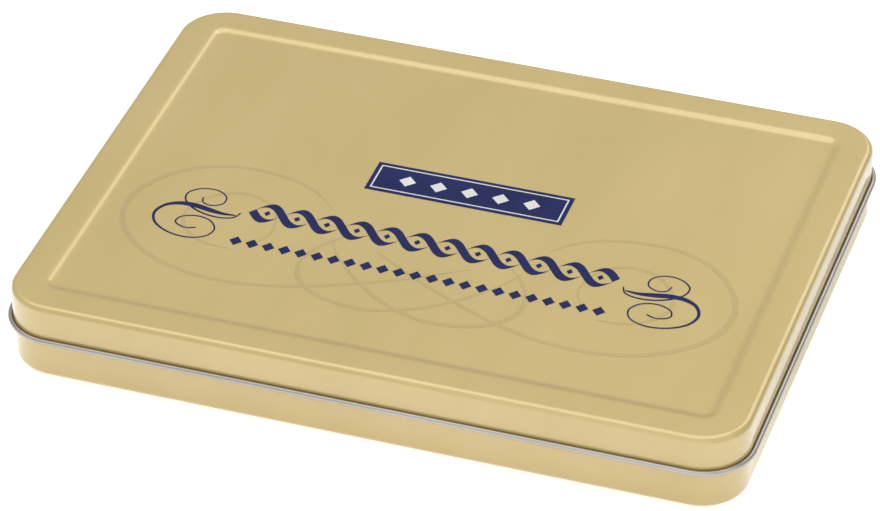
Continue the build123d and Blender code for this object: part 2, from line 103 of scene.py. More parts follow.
def pattern(tree, size, detail=2.0, squeeze=(1.0, 1.0, 1.0)):
    """Soft noise with patches of about this many millimetres, squeezed along each axis by
    these factors. A factor below 1 draws it out."""
    place = add(tree, "ShaderNodeTexCoord").outputs["Object"]
    along = add(tree, "ShaderNodeMapping", {"Vector": place, "Scale": squeeze}).outputs["Vector"]
    return add(tree, "ShaderNodeTexNoise", {
        "Vector": along, "Scale": 1 / (size * MM), "Detail": detail}).outputs["Fac"]


def clad(tree, tone, rough, relief, plain=(), spread=0.2):
    """Give a finish its shader. Tone is (pattern, hex, hex), roughness (pattern, low, high),
    relief (pattern, strength, depth in mm), and plain values are even all over. The tone runs
    from one hex to the other within this spread about the middle of its pattern."""
    base = add(tree, "ShaderNodeValToRGB", {"Fac": tone[0]},
               ((0.5 - spread, tone[1]), (0.5 + spread, tone[2])))
    gloss = add(tree, "ShaderNodeMapRange", {
        "Value": rough[0], "To Min": rough[1], "To Max": rough[2]})
    bump = add(tree, "ShaderNodeBump", {
        "Height": relief[0], "Strength": relief[1], "Distance": relief[2] * MM})
    shader = add(tree, "ShaderNodeBsdfPrincipled", {
        "Base Color": base, "Roughness": gloss, "Normal": bump, **dict(plain)})
    add(tree, "ShaderNodeOutputMaterial", {"Surface": shader})
    return shader


print("a 1 mm pattern has a noise scale of", 1 / MM, "per metre")

# %% [markdown]
# ## Gold lacquered tinplate
# The outside of the tin is thin steel sheet, tinned, then coated with a gold stoving lacquer
# and baked. The tin under the lacquer makes it shine like satin, and the lacquer itself adds a
# clear, glossier film on top. Up close the film isn't quite even: its tone drifts over a few
# centimetres, and the sheet below has a very fine rolled grain. A metallic Principled shader
# with a coat does both layers at once. The metal part is low, because the lacquer's pigment
# hides most of the tin.

# %% Gold lacquer
def lacquer(name, *tones):
    """Tinted lacquer, roller-coated on tinplate and baked: satin metal under a clear film."""
    material, tree = new_finish(name)
    drift = pattern(tree, 26.0, squeeze=(1.0, 0.35, 1.0))
    rolled = pattern(tree, 4.0, squeeze=(14.0, 1.0, 14.0))
    peel = pattern(tree, 1.1)
    clad(tree, (drift, *tones), (rolled, 0.32, 0.4), (peel, 0.04, 0.02), {
        "Metallic": 0.25, "Specular IOR Level": 0.5,
        "Coat Weight": 1.0, "Coat Roughness": 0.07, "Coat IOR": 1.9})
    return material


gold = lacquer("gold_lacquered_tinplate", "#C8AD58", "#CFB464")
print("gold lacquer: tone drifts over 26 mm, rolled grain", round(4.0 / 14, 2), "mm apart")

# %% [markdown]
# ## Bare tinplate
# The lid's edge is rolled outward, so what shows on the roll is the sheet's inner face, which
# has no gold lacquer, and neither has the inside of the lid. Tinplate is rolled steel with a
# thin bright coat of tin. It mirrors its surroundings softly, and keeps the mill's fine
# parallel lines. They are drawn about four times too coarse here, so that they show, and they
# change the roughness and not the tone, which only clouds over a few centimetres.

# %% Bare tinplate
LINE_LENGTH, LINE_SQUEEZE = 7.0, 20.0
tinplate, tree = new_finish("bare_tinplate")
lines = pattern(tree, LINE_LENGTH, 3.0, (LINE_SQUEEZE, 1.0, LINE_SQUEEZE))
clad(tree, (pattern(tree, 30.0), "#9F9A95", "#A8A39E"), (lines, 0.16, 0.24),
     (lines, 0.03, 0.02), {"Metallic": 1.0})
print("bare tinplate: rolling lines", LINE_LENGTH / LINE_SQUEEZE, "mm apart")

# %% [markdown]
# ## The two pressed sheets
# Lid and base are each one sheet, 0.25 mm thick, pressed so that its section stays the same all
# the way round a rounded rectangle: for the lid that section is the sunken panel's edge, the
# flat border, the round edge, the skirt and the roll. A sheet like this could be made by
# bending a plane, or by subdividing a box. Here the section is drawn once and a Geometry Nodes
# tree carries it round the outline, because that is how the real shape is made up, and every
# size stays a number. The section is drawn as both faces of the sheet, so the walls have their
# true thickness.

# %% Bends in a section
SHEET = 0.25
EDGE_STEPS, ROLL_STEPS = 8, 22


def bend(centre, radius, start, angle, steps):
    """Points along a bend, evenly spaced."""
    turns = [radians(start + angle * step / steps) for step in range(steps + 1)]
    return [(centre[0] + radius * cos(turn), centre[1] + radius * sin(turn)) for turn in turns]


def soften(line, radius, steps=4):
    """Round the corners of a line of straight runs, as a press does, but for those that hardly
    turn. A bend takes up at most 0.48 of the run on either side, so that two never meet."""
    points = [line[0]]
    for before, corner, after in zip(line, line[1:], line[2:]):
        corner = Vector(corner)
        back, ahead = Vector(before) - corner, Vector(after) - corner
        half = back.angle(ahead) / 2
        if half > radians(89):
            continue
        reach = min(radius / tan(half), back.length * 0.48, ahead.length * 0.48)
        start = corner + back.normalized() * reach
        end = corner + ahead.normalized() * reach
        for step in range(steps + 1):
            t = step / steps
            spot = start * (1 - t) ** 2 + corner * 2 * t * (1 - t) + end * t ** 2
            points.append((spot.x, spot.y))
    return [*points, line[-1]]


print("a quarter bend has", len(bend((0, 0), 1, 0, 90, EDGE_STEPS)), "points")


# %% Both faces of a sheet
def both_faces(middle, lacquered_side):
    """A sheet's two faces from the line along its middle, as one line that runs out along the
    lacquered face and back along the bare one, with a mark for which is which."""
    faces = {1: [], -1: []}
    for i, point in enumerate(middle):
        here = Vector(point)
        runs = [here - Vector(middle[i - 1])] if i else []
        runs += [Vector(middle[i + 1]) - here] if i + 1 < len(middle) else []
        runs = [run.normalized() for run in runs]
        way = sum(runs, Vector((0, 0))).normalized()
        reach = SHEET / 2 / max(0.5, way.dot(runs[0]))
        for side in faces:
            faces[side].append(here + side * reach * Vector((-way.y, way.x)))
    out, back = faces[lacquered_side], faces[-lacquered_side]
    return [*[(p, 1.0) for p in out], *[(p, 0.0) for p in reversed(back)]]


def new_piece(name, mesh):
    """An object for a mesh, a lamp or a camera, in the scene."""
    piece = bpy.data.objects.new(name, mesh)
    bpy.context.scene.collection.objects.link(piece)
    return piece


def section_object(name, points):
    """A line of edges for the tree. Its x is outward and its y is down, as the tree lays it."""
    mesh = bpy.data.meshes.new(name)
    edges = [(i, i + 1) for i in range(len(points) - 1)]
    mesh.from_pydata([(p.x * MM, -p.y * MM, 0) for p, _ in points], edges, [])
    mark = mesh.attributes.new("lacquered", "FLOAT", "POINT")
    mark.data.foreach_set("value", [value for _, value in points])
    return new_piece(name, mesh)


print("a straight run of sheet has", len(both_faces([(0, 0), (1, 0)], 1)), "corners")

# %% [markdown]
# The tree draws the rounded rectangle, sweeps the section along it, and closes the two open
# rings in the middle of the panel by drawing them to one point. A face is lacquered where all
# its corners are marked so.

# %% A tree with named inputs
def new_tree(name, inputs):
    """An empty Geometry Nodes tree with these (name, socket type) inputs after its geometry."""
    tree = bpy.data.node_groups.new(name, "GeometryNodeTree")
    tree.interface.new_socket("Geometry", in_out="OUTPUT", socket_type="NodeSocketGeometry")
    tree.interface.new_socket("Line", in_out="INPUT", socket_type="NodeSocketGeometry")
    for label, kind in inputs:
        tree.interface.new_socket(label, in_out="INPUT", socket_type="NodeSocket" + kind)
    return tree, add(tree, "NodeGroupInput").outputs


# %% Tree that carries a section round the tin
WELD = 0.002
ALL_CORNERS = 0.75

sheet_tree, given = new_tree("sheet_round_the_tin", (
    ("Length", "Float"), ("Width", "Float"), ("Corner", "Float"), ("Corner Steps", "Int"),
    ("Gap Spacing", "Float"), ("Gap Place", "Vector"), ("Gap Size", "Vector"),
    ("Outside", "Material"), ("Inside", "Material")))
outline = add(sheet_tree, "GeometryNodeCurvePrimitiveQuadrilateral", {
    "Width": given["Length"], "Height": given["Width"]})
outline = add(sheet_tree, "GeometryNodeFilletCurve", {
    "Curve": outline, "Count": given["Corner Steps"], "Radius": given["Corner"]}, mode="POLY")
outline = add(sheet_tree, "GeometryNodeSetCurveNormal", {"Curve": outline}, mode="Z_UP")
line = add(sheet_tree, "GeometryNodeMeshToCurve", {"Mesh": given["Line"]})
sheet = add(sheet_tree, "GeometryNodeCurveToMesh", {"Curve": outline, "Profile Curve": line})
walls = add(sheet_tree, "GeometryNodeInputMeshEdgeNeighbors").outputs["Face Count"]
open_edge = add(sheet_tree, "FunctionNodeCompare", {2: walls, 3: 1},
                data_type="INT", operation="EQUAL")
panel = add(sheet_tree, "GeometryNodeExtrudeMesh", {
    "Mesh": sheet, "Selection": open_edge, "Offset Scale": 0.0}, mode="EDGES")
spot = add(sheet_tree, "GeometryNodeInputPosition")
height = add(sheet_tree, "ShaderNodeSeparateXYZ", {0: spot}).outputs["Z"]
middle = add(sheet_tree, "ShaderNodeCombineXYZ", {"Z": height})
panel = add(sheet_tree, "GeometryNodeSetPosition", {
    "Geometry": panel.outputs["Mesh"], "Selection": panel.outputs["Top"], "Position": middle})
panel = add(sheet_tree, "GeometryNodeMergeByDistance", {"Geometry": panel, "Distance": WELD * MM})
mark = add(sheet_tree, "GeometryNodeInputNamedAttribute", {"Name": "lacquered"}, data_type="FLOAT")
coated = add(sheet_tree, "FunctionNodeCompare", {0: mark, 1: ALL_CORNERS}, operation="GREATER_THAN")
panel = add(sheet_tree, "GeometryNodeStoreNamedAttribute", {
    "Geometry": panel, "Name": "coated", "Value": coated}, data_type="BOOLEAN", domain="FACE")
print("the sheet's tree has", len(sheet_tree.nodes), "nodes so far")

# %% [markdown]
# The same tree then cuts the hinge's two gaps out of the sheet with a pair of boxes, and gives
# each face its finish by the mark that it kept.

# %% Gaps for the hinge, and finishes
half = add(sheet_tree, "ShaderNodeMath", {0: given["Gap Spacing"], 1: 0.5}, operation="MULTIPLY")
left = add(sheet_tree, "ShaderNodeMath", {0: half, 1: -1.0}, operation="MULTIPLY")
start = add(sheet_tree, "ShaderNodeCombineXYZ", {"X": left})
step = add(sheet_tree, "ShaderNodeCombineXYZ", {"X": given["Gap Spacing"]})
row = add(sheet_tree, "GeometryNodeMeshLine", {"Count": 2, "Start Location": start, "Offset": step})
box = add(sheet_tree, "GeometryNodeMeshCube", {"Size": given["Gap Size"]})
boxes = add(sheet_tree, "GeometryNodeInstanceOnPoints", {"Points": row, "Instance": box})
boxes = add(sheet_tree, "GeometryNodeRealizeInstances", {"Geometry": boxes})
boxes = add(sheet_tree, "GeometryNodeTransform", {
    "Geometry": boxes, "Translation": given["Gap Place"]})
cut = add(sheet_tree, "GeometryNodeMeshBoolean", {
    "Mesh 1": panel, "Mesh 2": boxes}, operation="DIFFERENCE", solver="EXACT")
whole = add(sheet_tree, "GeometryNodeRealizeInstances", {"Geometry": cut})
bare = add(sheet_tree, "GeometryNodeSetMaterial", {"Geometry": whole, "Material": given["Inside"]})
is_coated = add(sheet_tree, "GeometryNodeInputNamedAttribute", {"Name": "coated"},
                data_type="BOOLEAN")
done = add(sheet_tree, "GeometryNodeSetMaterial", {
    "Geometry": bare, "Selection": is_coated, "Material": given["Outside"]})
add(sheet_tree, "NodeGroupOutput", {0: done})
print("the sheet's tree has", len(sheet_tree.nodes), "nodes")


# %% Run a tree and keep its mesh
def made_by(source, tree, sizes):
    """Give an object a tree with these inputs, and turn the result into its plain mesh."""
    modifier = source.modifiers.new(tree.name, "NODES")
    modifier.node_group = tree
    sockets = {item.name: item.identifier for item in tree.interface.items_tree
               if item.item_type == "SOCKET" and item.in_out == "INPUT"}
    for label, value in sizes.items():
        modifier[sockets[label]] = value
    bpy.context.view_layer.update()
    evaluated = source.evaluated_get(bpy.context.evaluated_depsgraph_get())
    mesh = bpy.data.meshes.new_from_object(evaluated)
    source.modifiers.remove(modifier)
    source.data = mesh
    mesh.name = source.name
    print(source.name, "came out of the tree with", len(mesh.polygons), "faces")


# %% Tidy a mesh, and hand it over
def tidy(piece, sharp=32.0, merge=0.0005):
    """Merge doubles, point the faces outward, and shade smooth but for edges this sharp."""
    work = bmesh.new()
    work.from_mesh(piece.data)
    bmesh.ops.remove_doubles(work, verts=work.verts, dist=merge * MM)
    bmesh.ops.dissolve_degenerate(work, edges=work.edges, dist=merge * MM)
    bmesh.ops.recalc_face_normals(work, faces=work.faces)
    work.to_mesh(piece.data)
    work.free()
    empty = [i for i, filling in enumerate(piece.data.materials) if filling is None]
    for i in reversed(empty):
        piece.data.materials.pop(index=i)
    piece.data.shade_smooth()
    piece.data.set_sharp_from_angle(angle=radians(sharp))


def ready(piece, body, slot, *replaced):
    """Hand a finished piece to its body and hide the nodes it stands for. The slot is not used."""
    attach(piece, body)
    if replaced:
        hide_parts(*replaced)
    low = [min(v.co[i] for v in piece.data.vertices) for i in range(3)]
    high = [max(v.co[i] for v in piece.data.vertices) for i in range(3)]
    print(piece.name, "measures", [round((h - l) * 1000, 1) for l, h in zip(low, high)], "mm")


# %% [markdown]
# ## The lid
# From the middle outward: the sunken panel, its sloping edge, a flat border, a round edge, the
# skirt, and the roll that makes the bottom edge safe to touch and stiff. The slope bends softly
# into the panel and out of it. The two gaps at the back let the hinge's ears through. Distances
# in the section are measured inward from the skirt's outer face.

# %% Sizes of the lid and the hinge
TIN_HEIGHT = 25.0
LID_SIZE, LID_CORNER, LID_EDGE = (220.0, 163.1), 14.5, 1.8
CORNER_STEPS = 20
PANEL_DEPTH, PANEL_INSET, SLOPE_WIDTH, SLOPE_BEND = 0.6, 10.0, 2.0, 6.0
BORDER_END = 4.2
NEAR, NEARER = 0.3, 0.25  # how near straight runs come to a bend
BEAD_RADIUS, BEAD_HEIGHT, BEAD_TURN = 0.85, 13.75, 302
HINGE_Y, HINGE_SPACING, EAR_WIDTH = 82.15, 110.0, 12.0
NOTCH_PLAY, NOTCH_DEPTH, NOTCH_HEIGHT, NOTCH_MIDDLE = 1.0, 3.7, 3.35, 14.325
print("lid", LID_SIZE, "mm, hinge line", HINGE_Y, "mm behind the middle")


# %% A pressed sheet
def pressed_sheet(name, section, size, corner, gap_place, gap_size):
    """A section carried round the tin, with the hinge's two gaps. Sizes in millimetres."""
    sheet = section_object(name, section)
    made_by(sheet, sheet_tree, {
        "Length": size[0] * MM, "Width": size[1] * MM,
        "Corner": corner * MM, "Corner Steps": CORNER_STEPS,
        "Gap Spacing": HINGE_SPACING * MM, "Gap Place": [v * MM for v in gap_place],
        "Gap Size": [v * MM for v in gap_size], "Outside": gold, "Inside": tinplate})
    return sheet


# %% Lid
half_sheet = SHEET / 2
top = TIN_HEIGHT - half_sheet
pressed = soften([
    (-PANEL_INSET - 2 * SLOPE_WIDTH, top - PANEL_DEPTH),
    (-PANEL_INSET - SLOPE_WIDTH, top - PANEL_DEPTH),
    (-PANEL_INSET, top), (-BORDER_END, top), (-LID_EDGE - NEARER, top)], SLOPE_BEND)
round_edge = bend((-LID_EDGE, TIN_HEIGHT - LID_EDGE), LID_EDGE - half_sheet, 90, -90, EDGE_STEPS)
skirt = [(-half_sheet, TIN_HEIGHT - LID_EDGE - NEAR), (-half_sheet, BEAD_HEIGHT + NEARER)]
roll = bend((BEAD_RADIUS - SHEET, BEAD_HEIGHT), BEAD_RADIUS - half_sheet, 180, BEAD_TURN, ROLL_STEPS)
lid = pressed_sheet(
    "lid_sheet", both_faces([*pressed, *round_edge, *skirt, *roll], 1), LID_SIZE, LID_CORNER,
    (0, HINGE_Y, NOTCH_MIDDLE), (EAR_WIDTH + NOTCH_PLAY, NOTCH_DEPTH, NOTCH_HEIGHT))
tidy(lid)
ready(lid, "lid", "gold_lacquer", "lid")

# %% [markdown]
# ## The base
# The base is the other sheet: a raised floor panel, a flat foot round it, a round edge, the
# wall, and an inward roll along the rim that the lid slides over. Here the lacquered face is
# the right-hand one on the way out, so the roll shows gold. Two ears are punched out of its
# back wall, which leaves two windows, each as tall as the tongue of sheet that was rolled up.

# %% Sizes of the base
BASE_SIZE, BASE_CORNER, BASE_EDGE = (218.8, 161.9), 13.9, 2.4
FLOOR_RAISE, FLOOR_BEND = 0.5, 0.9
PANEL_START, FLOOR_INSET, FOOT_INSET, FOOT_END = 10.9, 10.2, 9.0, 5.0
RIM_RADIUS, RIM_HEIGHT, RIM_TURN = 0.8, 23.65, 290
EAR_TURN, EAR_RADIUS = 255.0, BEAD_RADIUS - half_sheet
WINDOW_PLAY, WINDOW_DEPTH = 0.2, 1.2
inner_wall = BASE_SIZE[1] / 2 - SHEET
window = HINGE_Y - inner_wall + EAR_TURN / 360 * 2 * pi * EAR_RADIUS
print("base", BASE_SIZE, "mm, windows", round(window, 2), "mm tall")

# %% Base
foot = soften([
    (-PANEL_START, FLOOR_RAISE + half_sheet), (-FLOOR_INSET, FLOOR_RAISE + half_sheet),
    (-FOOT_INSET, half_sheet), (-FOOT_END, half_sheet), (-BASE_EDGE - NEAR, half_sheet)], FLOOR_BEND)
low_edge = bend((-BASE_EDGE, BASE_EDGE), BASE_EDGE - half_sheet, -90, 90, EDGE_STEPS)
wall = [(-half_sheet, BASE_EDGE + NEAR), (-half_sheet, RIM_HEIGHT - NEARER)]
curl = bend((-RIM_RADIUS, RIM_HEIGHT), RIM_RADIUS - half_sheet, 0, RIM_TURN, ROLL_STEPS)
base = pressed_sheet(
    "base_sheet", both_faces([*foot, *low_edge, *wall, *curl], -1), BASE_SIZE, BASE_CORNER,
    (0, inner_wall + half_sheet, BEAD_HEIGHT - BEAD_RADIUS + window / 2),
    (EAR_WIDTH + WINDOW_PLAY, WINDOW_DEPTH, window))

# %% [markdown]
# Each ear is the tongue of sheet from its window, bent out under the roll of the lid and rolled
# up round the wire pin. Its section is again both faces of a bent line, this time run straight
# along the hinge, and both ears become part of the base's mesh.

# %% Meshes built face by face
def mesh_from(work, name):
    """The mesh of what was built face by face."""
    mesh = bpy.data.meshes.new(name)
    work.to_mesh(mesh)
    work.free()
    return mesh


def wall_between(work, ring, after):
    """Faces that join two closed rings of points."""
    for i in range(len(ring)):
        j = (i + 1) % len(ring)
        work.faces.new((ring[i], ring[j], after[j], after[i]))


def straight_strip(points, start, width):
    """A closed outline in the plane across the hinge, run along the hinge."""
    work = bmesh.new()
    rings = [[work.verts.new((x * MM, p.x * MM, p.y * MM)) for p, _ in points]
             for x in (start, start + width)]
    wall_between(work, *rings)
    for i in range(len(points) // 2 - 1):
        j = len(points) - 1 - i
        for ring in rings:
            work.faces.new((ring[i], ring[i + 1], ring[j - 1], ring[j]))
    return work


# %% Hinge ears
tongue = [(inner_wall + 0.02, BEAD_HEIGHT - EAR_RADIUS),
          *bend((HINGE_Y, BEAD_HEIGHT), EAR_RADIUS, -90, EAR_TURN, ROLL_STEPS)]
gold_index = list(base.data.materials).index(gold)
whole = bmesh.new()
whole.from_mesh(base.data)
for x in (-HINGE_SPACING / 2, HINGE_SPACING / 2):
    strip = straight_strip(both_faces(tongue, -1), x - EAR_WIDTH / 2, EAR_WIDTH)
    ear = mesh_from(strip, "ear")
    before = len(whole.faces)
    whole.from_mesh(ear)
    whole.faces.ensure_lookup_table()
    for face in whole.faces[before:]:
        face.material_index = gold_index
    bpy.data.meshes.remove(ear)
whole.to_mesh(base.data)
whole.free()
tidy(base)
ready(base, "base", "gold_lacquer", "base")

# %% [markdown]
# ## Plastics of the contents
# The trays are vacuum-formed from thin polystyrene sheet with a flocked, velvety face: matt,
# with a soft sheen at a flat angle. Pens and grips are injection-moulded, so the colour is in
# the resin and hardly changes. The pens take the mould's polish and look wet. Grips have a fine
# spark-eroded texture that turns them to satin, and the feeds are left dull, as the mould
# leaves them. Only numbers differ, so one function makes them all.

# %% Moulded and formed plastics
def plastic(name, tones, rough, patch, pit, relief, plain=()):
    """Plastic whose tone drifts over patches, with pits this far apart, sizes in millimetres."""
    material, tree = new_finish(name)
    pits = pattern(tree, pit, 3.0)
    clad(tree, (pattern(tree, patch), *tones), (pits, *rough), (pits, relief, 0.05), plain)
    return material


RESINS = {"black": ("#131316", "#1A1A1E"), "blue": ("#1C2C6E", "#22357E"),
          "red": ("#8E1A26", "#9E2430"), "green": ("#17603C", "#1E6E46")}
flock = plastic("flocked_polystyrene", ("#DCD5C3", "#E6DFCE"), (0.85, 0.98), 22.0, 0.35, 0.6,
                {"Sheen Weight": 0.35, "Sheen Roughness": 0.5})
resins = {name: plastic(f"polished_{name}_acrylic", tones, (0.08, 0.16), 30.0, 1.6, 0.05)
          for name, tones in RESINS.items()}
grip_plastic = plastic("satin_black_ABS", ("#1B1B1D", "#232325"), (0.3, 0.42), 12.0, 0.5, 0.25)
feed_plastic = plastic("moulded_ink_feed_plastic", ("#17171A", "#1F1F22"), (0.4, 0.55),
                       9.0, 0.4, 0.2)
print("plastics:", [m.name for m in (flock, *resins.values(), grip_plastic, feed_plastic)])

# %% [markdown]
# ## Steels of the contents
# The hinge's pins and the booklet's staples are drawn wire, grey and dull from the die. The
# pens' clips are nickelled and buffed to a mirror. Nibs are stainless strip, polished, so they
# are bright with a faint grain along the nib. All three keep lines from the die, the wheel or
# the belt, which are drawn a few times too coarse here so that they show.

# %% Drawn, rolled and polished steels
def steel(name, tones, rough, squeeze, line):
    """Steel whose tone, gloss and relief follow grain lines this far apart."""
    material, tree = new_finish(name)
    lines = pattern(tree, line, 3.0, squeeze)
    clad(tree, (lines, *tones), (lines, *rough), (lines, 0.08, 0.02), {"Metallic": 1.0}, spread=0.3)
    return material


wire = steel("drawn_steel_wire", ("#8E8D8C", "#A9A8A6"), (0.3, 0.42), (0.05, 1, 1), 0.3)
clip_steel = steel("bright_nickelled_steel", ("#C4C3C0", "#D2D1CE"), (0.1, 0.18), (0.2, 1, 1), 0.8)
nib_steel = steel("polished_stainless_steel", ("#B9B8B5", "#C9C8C5"), (0.16, 0.28), (0.1, 1, 1), 0.4)
print("steels:", [m.name for m in (wire, clip_steel, nib_steel)])

# %% [markdown]
# ## Softened edges
# An exact solid has edges like knives, and no moulded or formed part does. A copy of the
# node's mesh is merged and cleaned back to its flat faces first, because a bevel needs whole
# edges to follow. Then only the sharp ones are rounded, by about what a mould would leave. The
# trays' rims are 0.6 mm thick, so less than half of that may be rounded from either side.

# %% Round a node's sharp edges
JOIN, SPECK = 0.001, 0.003
FLAT_ANGLE, SHARP_ANGLE = 0.4, 28.0


def soft_piece(node, way, width, material, slot, smooth=32.0):
    """Dress a node in a copy of itself whose sharp edges are rounded by this many millimetres."""
    piece = new_piece(f"{node}_{way}", nodes[node].data.copy())
    work = bmesh.new()
    work.from_mesh(piece.data)
    bmesh.ops.remove_doubles(work, verts=work.verts, dist=JOIN * MM)
    bmesh.ops.dissolve_limit(work, angle_limit=radians(FLAT_ANGLE), verts=work.verts,
                             edges=work.edges)
    edges = [e for e in work.edges
             if e.is_manifold and e.calc_face_angle(0.0) > radians(SHARP_ANGLE)]
    bmesh.ops.bevel(work, geom=edges, offset=width * MM, segments=2, profile=0.5,
                    affect="EDGES", clamp_overlap=True)
    bmesh.ops.remove_doubles(work, verts=work.verts, dist=SPECK * MM)
    bmesh.ops.dissolve_degenerate(work, edges=work.edges, dist=SPECK * MM)
    bmesh.ops.triangulate(work, faces=[f for f in work.faces if len(f.verts) > 4])
    for face in work.faces:
        face.material_index = 0
    work.to_mesh(piece.data)
    work.free()
    piece.data.shade_smooth()
    piece.data.set_sharp_from_angle(angle=radians(smooth))
    piece.data.materials.clear()
    piece.data.materials.append(material)
    ready(piece, "base", slot, node)


for name in ("pen_tray", "cartridge_tray"):
    soft_piece(name, "formed", 0.25, flock, "tray_plastic")

# %% [markdown]
# ## Pens and nib units
# Each pen is eight-sided: a cap with a spring clip, and a barrel whose far end tapers. The
# nib unit sits inside the cap, out of sight, so its solids only take their finishes. The five
# spare units lie open beside the pens, with a finned black feed under a slit steel nib.

# %% Pens
for number, (name, resin) in enumerate(resins.items(), 1):
    soft_piece(f"pen_{number}_cap", "moulded", 0.35, resin, "pen_" + name)
    soft_piece(f"pen_{number}_barrel", "moulded", 0.35, resin, "pen_" + name)
    soft_piece(f"pen_{number}_clip", "formed", 0.14, clip_steel, "clip_steel")

# %% Spare nib units
for number in range(1, 6):
    soft_piece(f"spare_{number}_grip", "moulded", 0.3, grip_plastic, "grip_black")
    soft_piece(f"spare_{number}_feed", "moulded", 0.08, feed_plastic, "feed_black")
    soft_piece(f"spare_{number}_nib", "formed", 0.04, nib_steel, "nib_steel", smooth=50.0)


# %% Solids that only take a finish
def carried_over(name, material):
    """Put a finish on a node whose shape is right as it is."""
    nodes[name].data.materials.clear()
    nodes[name].data.materials.append(material)


for number in range(1, 5):
    carried_over(f"pen_{number}_grip", grip_plastic)
    carried_over(f"pen_{number}_feed", feed_plastic)
    carried_over(f"pen_{number}_nib", nib_steel)
for name in ("hinge_pin_left", "hinge_pin_right", "booklet_staples"):
    carried_over(name, wire)
print("finishes on", 4 * 3 + 3, "nodes that keep their shape")

# %% [markdown]
# ## Ink cartridges
# A short standard cartridge is blown from clear polyethylene: a round body, a shoulder, and a
# narrow mouth closed by a ball. The ink colours the body, and the thick mouth stays milky, so
# the colour follows the place along the cartridge and not noise alone. One cartridge is turned
# from its outline, and a tree repeats it in each of the four wells.

# %% Finish of a filled cartridge
CLEAR_Y, MILKY_Y = -30.2, -29.0


def filled(name, ink, deep):
    """Clear plastic full of ink, milky at the mouth: deep, wet-looking colour."""
    material, tree = new_finish("ink_filled_polyethylene_" + name)
    place = add(tree, "ShaderNodeTexCoord").outputs["Object"]
    along = add(tree, "ShaderNodeSeparateXYZ", {0: place}).outputs["Y"]
    mouth = add(tree, "ShaderNodeMapRange", {
        "Value": along, "From Min": CLEAR_Y * MM, "From Max": MILKY_Y * MM})
    depth = pattern(tree, 5.0)
    shader = clad(tree, (depth, deep, ink), (depth, 0.12, 0.2), (pattern(tree, 0.9), 0.08, 0.03), {
        "IOR": 1.51, "Coat Weight": 0.3, "Coat Roughness": 0.08})
    body = shader.inputs["Base Color"].links[0].from_socket
    milky = add(tree, "ShaderNodeMix", {"Factor": mouth, 6: body, 7: colour("#DAD9D6")},
                data_type="RGBA")
    tree.links.new(milky.outputs[2], shader.inputs["Base Color"])
    return material


INKS = {"black": ("#24242A", "#141417"), "blue": ("#2438A8", "#182A86"),
        "red": ("#B3202E", "#8E1622"), "green": ("#1D7A48", "#125A34"),
        "violet": ("#5A2C86", "#42206A")}
ink_finishes = {name: filled(name, *tones) for name, tones in INKS.items()}
print("inks:", list(ink_finishes))


# %% Tree that repeats a cartridge
def end_tree(tree, geometry, finish):
    """End a tree: real geometry in place of instances, its finish, and the output."""
    real = add(tree, "GeometryNodeRealizeInstances", {"Geometry": geometry})
    done = add(tree, "GeometryNodeSetMaterial", {"Geometry": real, "Material": finish})
    add(tree, "NodeGroupOutput", {0: done})
    print(tree.name, "has", len(tree.nodes), "nodes")


row_tree, given = new_tree("one_in_every_well", (
    ("Wells", "Int"), ("Pitch", "Float"), ("Start", "Float"), ("Finish", "Material")))
start = add(row_tree, "ShaderNodeCombineXYZ", {"X": given["Start"]})
step = add(row_tree, "ShaderNodeCombineXYZ", {"X": given["Pitch"]})
wells = add(row_tree, "GeometryNodeMeshLine", {
    "Count": given["Wells"], "Start Location": start, "Offset": step})
copies = add(row_tree, "GeometryNodeInstanceOnPoints", {"Points": wells, "Instance": given["Line"]})
end_tree(row_tree, copies, given["Finish"])


# %% One cartridge, and its row
def turned(name, outline, start, steps=32):
    """A solid turned round a line along Y, from (distance forward, radius) points."""
    work = bmesh.new()
    turns = [2 * pi * i / steps for i in range(steps)]
    rings = [[work.verts.new((start[0] + radius * MM * cos(turn), start[1] + ahead * MM,
                              start[2] + radius * MM * sin(turn))) for turn in turns]
             for ahead, radius in outline]
    for ring, after in zip(rings, rings[1:]):
        wall_between(work, ring, after)
    work.faces.new(rings[0])
    work.faces.new(rings[-1])
    return new_piece(name, mesh_from(work, name))


WELLS, WELL_PITCH, CARTRIDGE_PITCH = 4, 51.9, 7.8
MOUTH_Y, AXIS_Z = -24.7, 11.8
outline = [(-38.4, 2.6), (-38.2, 3.3), (-37.7, 3.6), (-37.0, 3.7), (-6.0, 3.7), (-5.3, 3.55),
           (-4.9, 3.2), (-4.8, 2.5), (-4.5, 2.3), (-0.5, 2.3), (-0.15, 2.15), (0, 1.9)]
for number, (name, finish) in enumerate(ink_finishes.items()):
    start = ((number - 2) * CARTRIDGE_PITCH * MM, MOUTH_Y * MM, AXIS_Z * MM)
    one = turned(f"cartridges_{name}_blown", outline, start)
    made_by(one, row_tree, {
        "Wells": WELLS, "Pitch": WELL_PITCH * MM, "Start": -1.5 * WELL_PITCH * MM, "Finish": finish})
    tidy(one, sharp=50.0)
    ready(one, "base", "ink_" + name, "cartridges_" + name)

# %% [markdown]
# ## The booklet
# A stapled booklet of writing models lies under the trays: uncoated pages, matt and slightly
# warm, between a cover of coated card with a dull gloss. Paper shows a faint cloud of fibres,
# and its cut edge shows the sheets. Real sheets are a tenth of a millimetre thick, and their
# lines are drawn much coarser here so that they show.

# %% Paper and card
def paper(name, tones, rough, coat):
    """Paper with a cloud of fibres and the lines of its sheets along the cut edges."""
    material, tree = new_finish(name)
    cloud = pattern(tree, 2.5, 4.0)
    place = add(tree, "ShaderNodeTexCoord").outputs["Object"]
    sheets = add(tree, "ShaderNodeTexWave", {
        "Vector": place, "Scale": 1 / (2.0 * MM), "Distortion": 0.4},
        wave_type="BANDS", bands_direction="Z").outputs["Fac"]
    clad(tree, (cloud, *tones), (cloud, *rough), (sheets, 0.3, 0.03), {
        "Coat Weight": coat, "Coat Roughness": 0.25})
    return material


